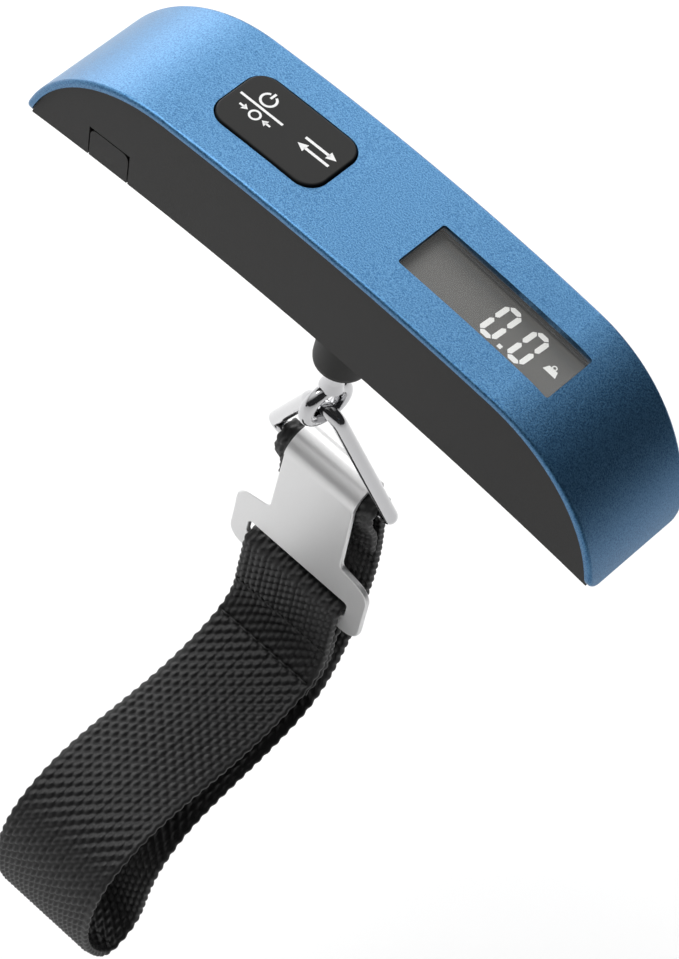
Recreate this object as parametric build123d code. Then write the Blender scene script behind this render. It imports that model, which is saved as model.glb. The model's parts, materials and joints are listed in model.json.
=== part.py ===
"""Hanging digital luggage scale: grip body, swivel eye, triangle ring, hook plate and webbing strap.

Millimetres. The origin is at the middle of the body, level with the two tips of its cover.
+X runs along the body towards the display, -Y is the long face with the battery tab, +Z is up.
"""

import math
import os

from build123d import *

# body envelope
BODY_L = 140.0
BODY_H = 29.4
TAPER = 2.5
CROWN_RISE = 1.5
SHOULDER_Z = -5.5
ARCH_RISE = 4.3

# body walls
COVER_T = 1.4
SHELL_GAP = 0.1
WALL = 2.0
EDGE_SET = 0.6
EDGE_R = 0.7
CUT_R = 0.2
BASE_T = 2.4
BASE_GAP = 0.1
TIP_R = 3.0

# running fits and screws
RUNNING = 0.05
SEAT_GAP = 0.02
SCREW_R = 1.1
SCREW_HEAD_R = 2.1
SCREW_HEAD_T = 1.2
BOSS_R = 2.6
BOSS_CLEAR = 2.9
BOSS_X = (-31.0, 58.0)

# display, given in a frame that lies on the cover over the window
DISPLAY_X = 27.3
WINDOW = (36.4, 13.0)
WINDOW_R = 0.6
LENS_FACE = 0.9
LENS_PLAY = 0.2
LENS_LIP = 1.6
LENS_T = 0.8
TAPE_T = 0.1
LCD = (39.0, 15.4, 2.0)
LCD_UPPER_T = 1.0
LCD_STEP = 1.2
LCD_PLAY = 0.2
FRAME_WALL = 1.5
ZEBRA = (36.0, 1.8, 2.6)
BOARD_T = 1.2
BLOB_R = 4.6
BLOB_T = 1.1

# key panel, in a frame that lies on the crown at its own centre
KEY_X = -23.5
KEY = (25.2, 15.1)
KEY_R = 4.0
KEY_PROUD = 0.4
KEY_GAP = 0.35
KEY_FLANGE = (1.2, 1.1)
KEY_FLANGE_Z = -4.5
KEY_PIVOT_Z = -5.0
KEY_PIN_R = 1.0
KEY_POST_X = 8.0
KEY_POST_R = 1.5
KEY_POST_L = 1.9
LUG_GAP = 1.5
LUG_T = 1.8
SWITCH = (6.0, 6.0, 3.5)
SWITCH_GAP = 0.25
PLUNGER = 0.8

# battery bay, in a frame that lies on the arched underside
BATTERY_X = -49.5
COIN_R = 10.0
COIN_T = 3.2
COIN_LIFT = 1.2
COIN_PLAY = 0.25
BAY_GAP = 0.05
DOOR_T = 1.6
DOOR_EDGE = (2.0, 0.2)
DOOR_GAP = 0.3
HINGE_SET = 1.4
BARREL_R = 1.2
PIN_R = 0.8
TAB_W = 9.4
TAB_H = 7.4
TAB_R = 1.6
TAB_T = 1.0

# load cell and hook
HOOK_X = 2.2
COLLAR_R = 5.6
COLLAR_Z = -13.5
BUSH_R = 3.2
BUSH_TOP = -4.0
SHANK_R = 2.0
EYE_RING_R = 4.5
EYE_WIRE_R = 1.5
EYE_Z = -26.3
EYE_YAW = -11.0
CELL = (50.0, 12.0, 0.204 * BODY_H)
CELL_Z = 0.272 * BODY_H
CELL_END = 7.0
CELL_WEAK_X = 21.0
CELL_HOLE_R = 2.2
CELL_HOLE_X = 3.6
CELL_SCREWS = (5.0, 13.0)
CELL_SCREW_HEAD = (2.6, 2.2)
WASHER_T = 0.8
NUT_AF = 7.0
NUT_T = 3.2

# triangle ring
TRI_WIRE_R = 1.5
TRI_HEIGHT = 36.0
TRI_HALF = 15.8
TRI_CORNER_R = 2.0
TRI_APEX_R = 4.2
TRI_LEAN = 22.4

# webbing and hook plate
STRAP_W = 25.0
STRAP_T = 1.4
WRAP_CLEAR = 0.08
PLATE_T = 1.2
PLATE_EDGE_R = 0.35
PLATE_LEAN = 7.0
CURL_CLEAR = 0.3
CURL_LIP = 1.2
NECK_W = 18.2
NECK_FLARE = 0.4
PLATE_W = 35.0
WING_RISE = 10.4
WING_SLOPE = 2.2
WING_R = 4.5
FOOT_R = 4.0
NECK_R = 1.5
SLOT_DROP = 31.0
SLOT_PLAY = 0.65
SLOT_H = 4.6
SLOT_R = 0.9
PLATE_BAR = 5.4
STRAP_SPLIT = 53.0
SPLIT_GAP = 0.15
LAYER_GAP = 0.06
FOLD_CLEAR = 0.3

# worked out from the sizes above
HALF_L = BODY_L / 2
END_R = BODY_H - SHOULDER_Z - CROWN_RISE
SHOULDER_X = HALF_L - math.sqrt(END_R**2 - SHOULDER_Z**2)
CROWN_DEPTH = BODY_H - SHOULDER_Z
TOP_R = (SHOULDER_X**2 + CROWN_DEPTH**2 - END_R**2) / (2 * (CROWN_DEPTH - END_R))
JOIN_X = TOP_R * SHOULDER_X / (TOP_R - END_R)
FAR = 2 * BODY_L
SHELL_SET = COVER_T + SHELL_GAP
CAVITY_SET = SHELL_SET + WALL
BASE_SET = EDGE_SET + WALL + BASE_GAP
TOP_W = 2 * (COIN_R + COIN_PLAY + BAY_GAP + BASE_SET + TAPER)
BOSS_Y = TOP_W / 2 - TAPER - BASE_SET - SCREW_HEAD_R - 0.6
LENS = (WINDOW[0] + 2 * LENS_LIP, WINDOW[1] + 2 * LENS_LIP)
LUG_Y = KEY[1] / 2 + KEY_FLANGE[0] + LUG_GAP + LUG_T / 2
SWITCH_TOP = KEY_FLANGE_Z - KEY_POST_L - SWITCH_GAP
KEY_BOARD_TOP = SWITCH_TOP - PLUNGER - SWITCH[2]
DOOR = (2 * (COIN_R + DOOR_EDGE[0]), 2 * (COIN_R + DOOR_EDGE[1]))
HINGE_Y = DOOR[1] / 2 - HINGE_SET
HINGE_Z = HINGE_SET
PIN_X = DOOR[0] / 2 + DOOR_GAP + 1.0
CELL_X = HOOK_X - CELL_END
WASHER_Z = CELL_Z + CELL[2] + RUNNING
WASHER_TOP = WASHER_Z + WASHER_T
APEX_Z = EYE_Z - EYE_RING_R + EYE_WIRE_R + TRI_WIRE_R + RUNNING
CURL_R = TRI_WIRE_R + WRAP_CLEAR + STRAP_T + CURL_CLEAR
PLATE_U = -(CURL_R + PLATE_T / 2)
SLOT_W = STRAP_W + 2 * SLOT_PLAY
SLOT_TOP = -SLOT_DROP
SLOT_LOW = SLOT_TOP - SLOT_H
PLATE_LOW = SLOT_LOW - PLATE_BAR
LAYER = STRAP_T + LAYER_GAP


def box(x0, x1, y0, y1, z0, z1):
    """A block given by its limits."""
    middle = ((x0 + x1) / 2, (y0 + y1) / 2, (z0 + z1) / 2)
    return Pos(*middle) * Box(x1 - x0, y1 - y0, z1 - z0)


def rod(radius, z0, z1, x=0.0, y=0.0):
    """An upright cylinder between two heights."""
    return Pos(x, y, (z0 + z1) / 2) * Cylinder(radius, z1 - z0)


def crown_z(x):
    """Height of the cover's top surface, over the crown or either shoulder."""
    if abs(x) <= JOIN_X:
        return BODY_H - TOP_R + math.sqrt(TOP_R**2 - x**2)
    return SHOULDER_Z + math.sqrt(END_R**2 - (abs(x) - SHOULDER_X) ** 2)


def under_z(x):
    """Height of the arched underside."""
    return ARCH_RISE * (1 - (x / HALF_L) ** 2)


def on_crown(x):
    """Frame on the crown, its own z outwards."""
    slope = math.degrees(math.asin(x / TOP_R))
    return Pos(x, 0, crown_z(x)) * Rot(0, slope, 0)


def on_display():
    """Frame on the cover over the window, parallel to the line between the window's two ends."""
    fall = crown_z(DISPLAY_X - WINDOW[0] / 2) - crown_z(DISPLAY_X + WINDOW[0] / 2)
    slope = math.degrees(math.atan(fall / WINDOW[0]))
    return Pos(DISPLAY_X, 0, crown_z(DISPLAY_X)) * Rot(0, slope, 0)


def on_underside(x):
    """Frame on the arched underside, its own z upwards into the body."""
    slope = math.degrees(math.atan(2 * ARCH_RISE * x / HALF_L**2))
    return Pos(x, 0, under_z(x)) * Rot(0, slope, 0)


def long_section(inset, floor):
    """Solid under the crown and shoulders, set in from the outside by inset."""
    top_z = BODY_H - TOP_R
    reach = math.hypot(SHOULDER_X, SHOULDER_Z - top_z)
    way = (SHOULDER_X / reach, (SHOULDER_Z - top_z) / reach)
    radius = TOP_R - inset
    join = (radius * way[0], top_z + radius * way[1])
    turn = math.atan2(way[1], way[0]) / 2
    end_r = END_R - inset
    mid = (SHOULDER_X + end_r * math.cos(turn), SHOULDER_Z + end_r * math.sin(turn))
    side = (SHOULDER_X + end_r, SHOULDER_Z)
    foot = (SHOULDER_X + end_r, SHOULDER_Z - TOP_W)
    crown = ThreePointArc((-join[0], join[1]), (0, BODY_H - inset), join)
    right = ThreePointArc(join, mid, side)
    left = ThreePointArc((-side[0], side[1]), (-mid[0], mid[1]), (-join[0], join[1]))
    legs = Polyline(side, foot, (-foot[0], foot[1]), (-side[0], side[1]))
    face = Plane.XZ * make_face(Curve() + [crown, right, legs, left])
    return extrude(face, TOP_W, both=True) & box(-FAR, FAR, -FAR, FAR, floor, FAR)


def side_prism(inset, low, high, corner=0.0):
    """Everything between the two tapered long faces, set in by inset."""
    half_low = TOP_W / 2 - TAPER * (1 - low / BODY_H) - inset
    half_high = TOP_W / 2 - TAPER * (1 - high / BODY_H) - inset
    corners = [(-half_low, low), (half_low, low), (half_high, high), (-half_high, high)]
    face = make_face(Polyline(*corners, close=True))
    if corner:
        feet = face.vertices().sort_by(Axis.Y)[:2]
        face = fillet(feet, corner)
    return extrude(Plane.YZ * face, BODY_L, both=True)


def below_arch(offset):
    """Everything under the arched underside, raised by offset."""
    low = -40.0
    reach = HALF_L + 5
    start = (-reach, under_z(reach) + offset)
    end = (reach, under_z(reach) + offset)
    arc = ThreePointArc(start, (0, ARCH_RISE + offset), end)
    rest = Polyline(end, (reach, low), (-reach, low), start)
    face = Plane.XZ * make_face(Curve() + [arc, rest])
    return extrude(face, TOP_W, both=True)


def rounded_slab(length, width, radius, z0, z1):
    """Slab with round corners between two heights."""
    return Pos(0, 0, z0) * extrude(RectangleRounded(length, width, radius), z1 - z0)


# ---------------------------------------------------------------- body


def outer_edges(cover):
    """The edges between the cover's outer face and its two long sides, down to the tips."""
    edges = []
    for edge in cover.edges():
        points = [edge.position_at(share) for share in (0.25, 0.5, 0.75)]
        skin = max(abs(skin_gap(point)) for point in points)
        side = max(side_gap(point) for point in points)
        if skin < 0.02 and side < 0.01:
            edges.append(edge)
    return edges


def skin_gap(point):
    """Distance of a point from the cover's outer face."""
    if abs(point.X) <= JOIN_X:
        return crown_z(point.X) - point.Z
    return math.hypot(abs(point.X) - SHOULDER_X, point.Z - SHOULDER_Z) - END_R


def side_gap(point):
    """Distance of a point from the nearer long side, or nothing where the tips are rounded."""
    if point.Z < TIP_R and abs(point.Y) > TOP_W / 4:
        return 0.0
    return abs(TOP_W / 2 - TAPER * (1 - point.Z / BODY_H) - abs(point.Y))


def display_window():
    """Prism of the display's window."""
    slab = rounded_slab(*WINDOW, WINDOW_R, -6, 6)
    return on_display() * slab


def key_hole():
    """Prism of the hole round the key."""
    size = (KEY[0] + 2 * KEY_GAP, KEY[1] + 2 * KEY_GAP)
    return on_crown(KEY_X) * rounded_slab(*size, KEY_R + KEY_GAP, -6, 6)


def top_cover():
    """Anodised aluminium cover bent over the crown and both ends."""
    skin = long_section(0.0, 0.0) - long_section(COVER_T, -5.0)
    skin &= side_prism(0.0, 0.0, BODY_H + 5, TIP_R)
    skin = fillet(outer_edges(skin), EDGE_R)
    return skin - display_window() - key_hole()


def key_lugs():
    """Two lugs under the deck that carry the rocker's pins."""
    lugs = Part()
    for side in (-1, 1):
        y = side * LUG_Y
        low = KEY_PIVOT_Z - KEY_PIN_R - 0.9
        lugs += box(-2.2, 2.2, y - LUG_T / 2, y + LUG_T / 2, low, -COVER_T - 1.2)
    return on_crown(KEY_X) * lugs


def key_pin(radius, half):
    """Round pin across the key, or its bore."""
    return on_crown(KEY_X) * Pos(0, 0, KEY_PIVOT_Z) * Rot(90, 0, 0) * Cylinder(radius, 2 * half)


def boss_top():
    """Height of the screw columns, which end under the key's board."""
    return crown_z(KEY_X) + KEY_BOARD_TOP - BOARD_T - BOSS_CLEAR


def base_bosses():
    """Screw columns on the inside of the long walls."""
    bosses = Part()
    for x, y in base_screw_places():
        foot = under_z(x) + BASE_T + 0.4
        column = rod(BOSS_R, foot, boss_top(), x, y)
        wall = math.copysign(TOP_W / 2, y)
        web = box(x - 1.2, x + 1.2, min(y, wall), max(y, wall), foot, boss_top())
        bosses += column + web
    inside = side_prism(EDGE_SET + WALL / 2, 0.0, BODY_H)
    bosses &= inside
    for x, y in base_screw_places():
        bosses -= rod(SCREW_R, 0.0, BODY_H, x, y)
    return bosses


def base_screw_places():
    """Centres of the four base screws."""
    return [(x, side * BOSS_Y) for x in BOSS_X for side in (-1, 1)]


def display_well(extra):
    """Outer size of the display's frame, widened by extra."""
    border = 2 * (FRAME_WALL + LCD_PLAY) + extra
    return LCD[0] + border, LCD[1] + border


def lens_drop():
    """Depth of the window's lip below the display's frame, clear of the cover's bent inside."""
    deepest = 0.0
    frame = on_display()
    for side in (-1, 1):
        u = side * LENS[0] / 2
        for share in (0.9, 1.0):
            spot = (frame * Pos(share * u, 0, 0)).position
            deepest = max(deepest, spot.Z - crown_z(spot.X))
    return COVER_T + deepest + TAPE_T + 0.06


def lcd_top():
    """Height of the glass in the display's frame."""
    return -lens_drop() - LENS_T - 0.1


def zebra_top():
    """Height of the connector strips' upper face."""
    return lcd_top() - LCD[2] - SEAT_GAP


def board_top():
    """Height of the display board's upper face."""
    return zebra_top() - ZEBRA[2] - SEAT_GAP


def tab_slot(gap):
    """Space of the battery tab in the front wall."""
    half = TAB_W / 2 + gap
    return on_underside(BATTERY_X) * box(-half, half, -TOP_W, 0, -3, TAB_H + gap)


def shell():
    """Black moulded shell: deck, long walls and end walls."""
    body = long_section(SHELL_SET, 0.0) & side_prism(EDGE_SET, 0.0, BODY_H + 5)
    cavity = long_section(CAVITY_SET, -5.0) & side_prism(EDGE_SET + WALL, -5.0, BODY_H + 5)
    body -= cavity
    body -= below_arch(0.0)
    well = display_well(0.4)
    body -= on_display() * box(-well[0] / 2, well[0] / 2, -well[1] / 2, well[1] / 2, -7, 3)
    body -= key_hole()
    body += key_lugs() & side_prism(EDGE_SET, 0.0, BODY_H)
    body -= key_pin(KEY_PIN_R + RUNNING, LUG_Y + LUG_T / 2 + 0.2)
    body += base_bosses()
    body -= tab_slot(DOOR_GAP) & box(-BODY_L, BODY_L, -TOP_W, -TOP_W / 4, -5, BODY_H)
    return body


def door_opening():
    """Opening of the battery door in the base."""
    length = DOOR[0] + 2 * DOOR_GAP
    return box(-length / 2, length / 2, -TOP_W / 2, DOOR[1] / 2 + DOOR_GAP, -6, 8)


def battery_rim():
    """Wall round the coin cell, open at the tab and under the hinge."""
    rim = rounded_slab(DOOR[0] + 2, 2 * COIN_R + 0.9, 2.0, DOOR_T + 0.5, DOOR_T + 6.0)
    rim -= rod(COIN_R + COIN_PLAY, 0, DOOR_T + 4.6)
    rim -= box(-TAB_W / 2, TAB_W / 2, -TOP_W / 2, -COIN_R + 1.5, 0, FAR)
    rim -= Pos(0, HINGE_Y, HINGE_Z) * Rot(0, 90, 0) * Cylinder(BARREL_R + 0.4, BODY_L)
    room = side_prism(BASE_SET, -2.0, BODY_H) & long_section(CAVITY_SET + BASE_GAP, -2.0)
    return (on_underside(BATTERY_X) * rim) & room


def base_plate():
    """Black base with the collar, load cell posts and the battery bay."""
    floor = below_arch(BASE_T) - below_arch(0.0)
    floor &= side_prism(BASE_SET, -2.0, BODY_H)
    floor &= long_section(CAVITY_SET + BASE_GAP, -2.0)
    frame = on_underside(BATTERY_X)
    floor -= frame * door_opening()
    floor += battery_rim()
    for side in (-1, 1):
        x = side * PIN_X
        floor += frame * box(x - 1.0, x + 1.0, -COIN_R - 0.4, COIN_R + 0.4, 0.2, 4.0)
    floor += collar()
    for x in cell_screw_x():
        floor += rod(3.6, under_z(x) + 0.5, CELL_Z - RUNNING, x)
        floor -= rod(SCREW_R, under_z(x) + 0.6, CELL_Z + 1, x)
    floor -= rod(BUSH_R, COLLAR_Z - 2, BUSH_TOP, HOOK_X)
    floor -= rod(SHANK_R + 0.6, COLLAR_Z, BODY_H, HOOK_X)
    for x, y in base_screw_places():
        floor -= rod(SCREW_R + 0.35, -2, CELL_Z, x, y)
        floor -= rod(SCREW_HEAD_R + 0.2, -2, under_z(x) + SCREW_HEAD_T + 0.1, x, y)
    for side in (-1, 1):
        bore = Rot(0, 90, 0) * Cylinder(PIN_R + RUNNING, 3.0)
        floor -= frame * Pos(side * PIN_X, HINGE_Y, HINGE_Z) * bore
    return floor


def collar():
    """Round collar under the body that the hook's shank comes out of."""
    profile = Polyline(
        (0, COLLAR_Z),
        (COLLAR_R - 1.0, COLLAR_Z),
        (COLLAR_R - 0.2, COLLAR_Z + 0.5),
        (COLLAR_R, COLLAR_Z + 1.4),
        (COLLAR_R + 0.8, ARCH_RISE + 1.5),
        (0, ARCH_RISE + 1.5),
        close=True,
    )
    return Pos(HOOK_X, 0, 0) * revolve(Plane.XZ * make_face(profile), Axis.Z)


def battery_door():
    """Door under the coin cell with its tab on the long face."""
    half_x = DOOR[0] / 2
    y_front = -(TOP_W / 2 - TAPER * (1 - under_z(BATTERY_X) / BODY_H) - EDGE_SET)
    leaf = box(-half_x, half_x, y_front + WALL + DOOR_GAP, HINGE_Y, 0.0, DOOR_T)
    tongue = box(-TAB_W / 2, TAB_W / 2, -TOP_W, 0, 0.0, DOOR_T)
    tab = box(-TAB_W / 2, TAB_W / 2, -TOP_W, 0, 0.0, TAB_H)
    top_corners = tab.edges().filter_by(Axis.Y).group_by(Axis.Z)[-1]
    tab = fillet(top_corners, TAB_R)
    place = on_underside(BATTERY_X)
    outside = side_prism(EDGE_SET, -2.0, BODY_H)
    tab_body = (place * tab & outside) - side_prism(EDGE_SET + TAB_T, -2.0, BODY_H)
    latch = place * box(-2.0, 2.0, y_front, y_front + TAB_T + 0.4, TAB_H - 2.6, TAB_H - 1.6)
    door = place * leaf + (place * tongue & outside) + tab_body + latch
    barrel = Rot(0, 90, 0) * Cylinder(BARREL_R, DOOR[0])
    pins = Rot(0, 90, 0) * Cylinder(PIN_R, 2 * PIN_X + 1.0)
    door += place * Pos(0, HINGE_Y, HINGE_Z) * (barrel + pins)
    return door


def coin_cell():
    """Flat 3 V coin cell with a stepped negative cap."""
    can = rod(COIN_R, 0.6, COIN_T)
    cap = rod(COIN_R - 1.2, 0.0, 0.65)
    cell = can + cap
    top_edge = cell.faces().sort_by(Axis.Z)[-1].edges()
    cell = fillet(top_edge, 0.4)
    return on_underside(BATTERY_X) * Pos(0, 0, DOOR_T + COIN_LIFT) * cell


def negative_contact():
    """Spring finger under the cell, riveted to the door's inside edge of the bay."""
    z0 = DOOR_T + 0.2
    disc = rod(3.6, z0, z0 + 0.25)
    raised = rod(2.0, z0, z0 + COIN_LIFT - 0.3) - rod(1.7, z0 - 1, z0 + COIN_LIFT - 0.6)
    return on_underside(BATTERY_X) * (disc + raised)


def positive_contact():
    """Flat strip over the cell."""
    z0 = DOOR_T + COIN_LIFT + COIN_T + SEAT_GAP
    strip = box(-COIN_R + 1, COIN_R - 1, -2.2, 2.2, z0, z0 + 0.15)
    return on_underside(BATTERY_X) * strip


def base_screws():
    """Four pan-head screws that hold the base to the shell."""
    screws = []
    for x, y in base_screw_places():
        seat = under_z(x) + SCREW_HEAD_T + 0.05
        low = seat - SCREW_HEAD_T
        head = rod(SCREW_HEAD_R, low, seat, x, y)
        cross = Pos(x, y, low) * (Box(2.4, 0.6, 1.2) + Box(0.6, 2.4, 1.2))
        shaft = rod(SCREW_R - SEAT_GAP, seat - 0.1, boss_top() + 0.4, x, y)
        screws.append((head - cross) + shaft)
    return screws


# ---------------------------------------------------------------- display


def display_lens():
    """Clear acrylic window: a lip taped under the cover and a face that stands in the opening."""
    top = -lens_drop()
    lip = box(-LENS[0] / 2, LENS[0] / 2, -LENS[1] / 2, LENS[1] / 2, top - LENS_T, top)
    face = (WINDOW[0] - 2 * LENS_PLAY, WINDOW[1] - 2 * LENS_PLAY)
    raised = rounded_slab(*face, WINDOW_R - LENS_PLAY, top - LENS_T / 2, -LENS_FACE)
    return on_display() * (lip + raised)


def lens_tape():
    """Adhesive frame between the window's lip and the cover."""
    low = -lens_drop() + 0.01
    ring = box(-LENS[0] / 2, LENS[0] / 2, -LENS[1] / 2, LENS[1] / 2, low, low + TAPE_T)
    ring -= rounded_slab(*WINDOW, WINDOW_R, low - 1, low + 1)
    return on_display() * ring


def lcd_panel():
    """Liquid crystal glass with its upper glass set back at the contact edge."""
    top = lcd_top()
    half_x = LCD[0] / 2
    half_y = LCD[1] / 2
    lower = box(-half_x, half_x, -half_y, half_y, top - LCD[2], top - LCD_UPPER_T)
    upper = box(-half_x, half_x, -half_y, half_y - LCD_STEP, top - LCD_UPPER_T, top)
    return on_display() * (lower + upper)


def lcd_frame():
    """Moulded frame round the glass, standing on the display board."""
    outer = display_well(0.0)
    low = board_top()
    top = lcd_top()
    frame = box(-outer[0] / 2, outer[0] / 2, -outer[1] / 2, outer[1] / 2, low, top - 0.4)
    inner = (LCD[0] / 2 + LCD_PLAY, LCD[1] / 2 + LCD_PLAY)
    frame -= box(-inner[0], inner[0], -inner[1], inner[1], zebra_top(), top + 1)
    for side in (-1, 1):
        y = side * (LCD[1] / 2 - ZEBRA[1])
        frame -= Pos(0, y, low + 1) * Box(ZEBRA[0] + 0.6, ZEBRA[1] + 0.4, 8)
    frame -= box(-14, 14, -3.5, 3.5, low - 1, top)
    return on_display() * Pos(0, 0, SEAT_GAP) * frame


def zebra_strips():
    """Two elastomer connector strips between glass and board."""
    strips = []
    for side in (-1, 1):
        y = side * (LCD[1] / 2 - ZEBRA[1])
        z = (zebra_top() + board_top()) / 2 + SEAT_GAP / 2
        strips.append(on_display() * Pos(0, y, z) * Box(*ZEBRA))
    return strips


def display_board():
    """Circuit board under the glass."""
    outer = display_well(0.0)
    half_x = outer[0] / 2
    half_y = outer[1] / 2 - 0.4
    top = board_top()
    board = box(-half_x, half_x, -half_y, half_y, top - BOARD_T, top)
    for side in (-1, 1):
        board -= rod(0.5, top - 4, top + 1, side * (half_x - 0.9))
    return on_display() * board


def controller_blob():
    """Epoxy blob over the scale's controller chip."""
    dome = Sphere(BLOB_R) & Pos(0, 0, -BLOB_T / 2) * Box(4 * BLOB_R, 4 * BLOB_R, BLOB_T)
    return on_display() * Pos(-2, 0, board_top() - BOARD_T - SEAT_GAP) * dome


# ---------------------------------------------------------------- keys


def key_rocker():
    """Two-function key that rocks left and right on its two pins."""
    cap = rounded_slab(KEY[0], KEY[1], KEY_R, KEY_FLANGE_Z, KEY_PROUD)
    rim = cap.faces().sort_by(Axis.Z)[-1].edges()
    cap = fillet(rim, KEY_PROUD)
    reach, thickness = KEY_FLANGE
    size = (KEY[0] + 2 * reach, KEY[1] + 2 * reach)
    rocker = cap + rounded_slab(*size, KEY_R, KEY_FLANGE_Z - thickness, KEY_FLANGE_Z + 0.01)
    for side in (-1, 1):
        rocker += rod(KEY_POST_R, KEY_FLANGE_Z - KEY_POST_L, KEY_FLANGE_Z, side * KEY_POST_X)
    return on_crown(KEY_X) * rocker + key_pin(KEY_PIN_R, LUG_Y + LUG_T / 2 - 0.3)


def tact_switches():
    """Two dome switches under the posts of the key."""
    switches = []
    for side in (-1, 1):
        x = side * KEY_POST_X
        body = Pos(x, 0, KEY_BOARD_TOP + SEAT_GAP + SWITCH[2] / 2) * Box(*SWITCH)
        plunger = rod(1.7, KEY_BOARD_TOP + SWITCH[2] - 0.1, SWITCH_TOP, x)
        switches.append(on_crown(KEY_X) * (body + plunger))
    return switches


def key_board():
    """Circuit board under the key."""
    top = KEY_BOARD_TOP
    half_x = KEY_POST_X + 4.5
    board = box(-half_x, half_x, -9.0, 9.0, top - BOARD_T, top)
    for side in (-1, 1):
        board -= rod(1.1, top - 4, top + 1, 0, side * 6.5)
    return on_crown(KEY_X) * board


# ---------------------------------------------------------------- load cell and hook


def cell_screw_x():
    """Places of the two screws that clamp the beam's fixed end."""
    return [CELL_X + CELL[0] - back for back in CELL_SCREWS]


def load_cell():
    """Aluminium bending beam with its double-bore weak section."""
    top = CELL_Z + CELL[2]
    beam = box(CELL_X, CELL_X + CELL[0], -CELL[1] / 2, CELL[1] / 2, CELL_Z, top)
    beam -= rod(SHANK_R + 0.4, 0, BODY_H, HOOK_X)
    for side in (-1, 1):
        x = CELL_X + CELL_WEAK_X + side * CELL_HOLE_X
        beam -= Pos(x, 0, (CELL_Z + top) / 2) * Rot(90, 0, 0) * Cylinder(CELL_HOLE_R, 2 * CELL[1])
    for x in cell_screw_x():
        beam -= rod(SCREW_R + 0.6, 0, BODY_H, x)
    return beam


def strain_gauges():
    """Foil gauges on the top and bottom of the weak section."""
    gauges = []
    for z in (CELL_Z + CELL[2] + 0.1, CELL_Z - 0.1):
        gauges.append(Pos(CELL_X + CELL_WEAK_X, 0, z) * Box(9.0, 5.0, 0.16))
    return gauges


def cell_screws():
    """Two cap screws through the beam into the base posts."""
    radius, height = CELL_SCREW_HEAD
    seat = CELL_Z + CELL[2] + RUNNING
    screws = []
    for x in cell_screw_x():
        head = rod(radius, seat, seat + height, x)
        socket = Pos(x, 0, seat + 1.0) * extrude(RegularPolygon(radius / 2, 6), height)
        shaft = rod(SCREW_R - SEAT_GAP, under_z(x) + 0.9, seat + 0.1, x)
        screws.append((head - socket) + shaft)
    return screws


def hook_bush():
    """Brass sleeve pressed into the collar round the shank."""
    sleeve = rod(BUSH_R - 0.01, COLLAR_Z + 0.6, BUSH_TOP - 0.1, HOOK_X)
    return sleeve - rod(SHANK_R + RUNNING, COLLAR_Z - 1, BUSH_TOP + 1, HOOK_X)


def thrust_washer():
    """Washer on top of the beam."""
    ring = rod(NUT_AF / 2 + 0.9, WASHER_Z, WASHER_TOP, HOOK_X)
    return ring - rod(SHANK_R + 0.15, 0, BODY_H, HOOK_X)


def hook_nut():
    """Lock nut that carries the hook on the washer."""
    z0 = WASHER_TOP + RUNNING
    flats = extrude(RegularPolygon(NUT_AF / 2, 6, major_radius=False), NUT_T)
    nut = Pos(HOOK_X, 0, z0) * Rot(0, 0, 30) * flats
    return nut - rod(SHANK_R + 0.01, 0, BODY_H, HOOK_X)


def eye_hook():
    """Chromed eye with its round shank."""
    ring = Rot(0, 90, 0) * Torus(EYE_RING_R, EYE_WIRE_R)
    ring = Pos(HOOK_X, 0, EYE_Z) * Rot(0, 0, EYE_YAW) * ring
    top = WASHER_TOP + NUT_T + 0.9
    shank = rod(SHANK_R, EYE_Z + EYE_RING_R, top, HOOK_X)
    root = EYE_Z + EYE_RING_R + EYE_WIRE_R
    flare = Pos(HOOK_X, 0, root + 0.3) * Cone(SHANK_R + 0.5, SHANK_R, 2.4)
    return ring + shank + flare


# ---------------------------------------------------------------- triangle ring


def bar_place():
    """Frame at the middle of the triangle's bottom bar."""
    drop = TRI_HEIGHT * math.cos(math.radians(TRI_LEAN))
    back = TRI_HEIGHT * math.sin(math.radians(TRI_LEAN))
    return HOOK_X, back, APEX_Z - drop


def corner_arc(before, corner, after, radius):
    """Tangent points and middle of the arc that rounds a corner."""
    p = Vector(*corner)
    a = (Vector(*before) - p).normalized()
    b = (Vector(*after) - p).normalized()
    half = math.radians(a.get_angle(b)) / 2
    reach = radius / math.tan(half)
    middle_way = (a + b).normalized()
    centre = p + middle_way * (radius / math.sin(half))
    return p + a * reach, centre - middle_way * radius, p + b * reach


def triangle_ring():
    """Closed triangle of chromed wire."""
    reach = math.hypot(TRI_HALF, TRI_HEIGHT - TRI_APEX_R)
    half = math.atan(TRI_HALF / (TRI_HEIGHT - TRI_APEX_R)) - math.asin(TRI_APEX_R / reach)
    top = (0.0, TRI_APEX_R / math.sin(half) - TRI_APEX_R)
    left = (-TRI_HALF, -TRI_HEIGHT)
    right = (TRI_HALF, -TRI_HEIGHT)
    turns = [
        corner_arc(left, top, right, TRI_APEX_R),
        corner_arc(top, right, left, TRI_CORNER_R),
        corner_arc(right, left, top, TRI_CORNER_R),
    ]
    edges = []
    for i, turn in enumerate(turns):
        edges.append(ThreePointArc(*turn))
        edges.append(Line(turn[2], turns[(i + 1) % 3][0]))
    path = Wire((Curve() + edges).edges())
    start = path @ 0.0
    section = Plane(start, z_dir=path % 0.0) * Circle(TRI_WIRE_R)
    ring = sweep(section, path=path, transition=Transition.ROUND)
    return Pos(HOOK_X, 0, APEX_Z) * Rot(90 + TRI_LEAN, 0, 0) * ring


# ---------------------------------------------------------------- hook plate


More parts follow.
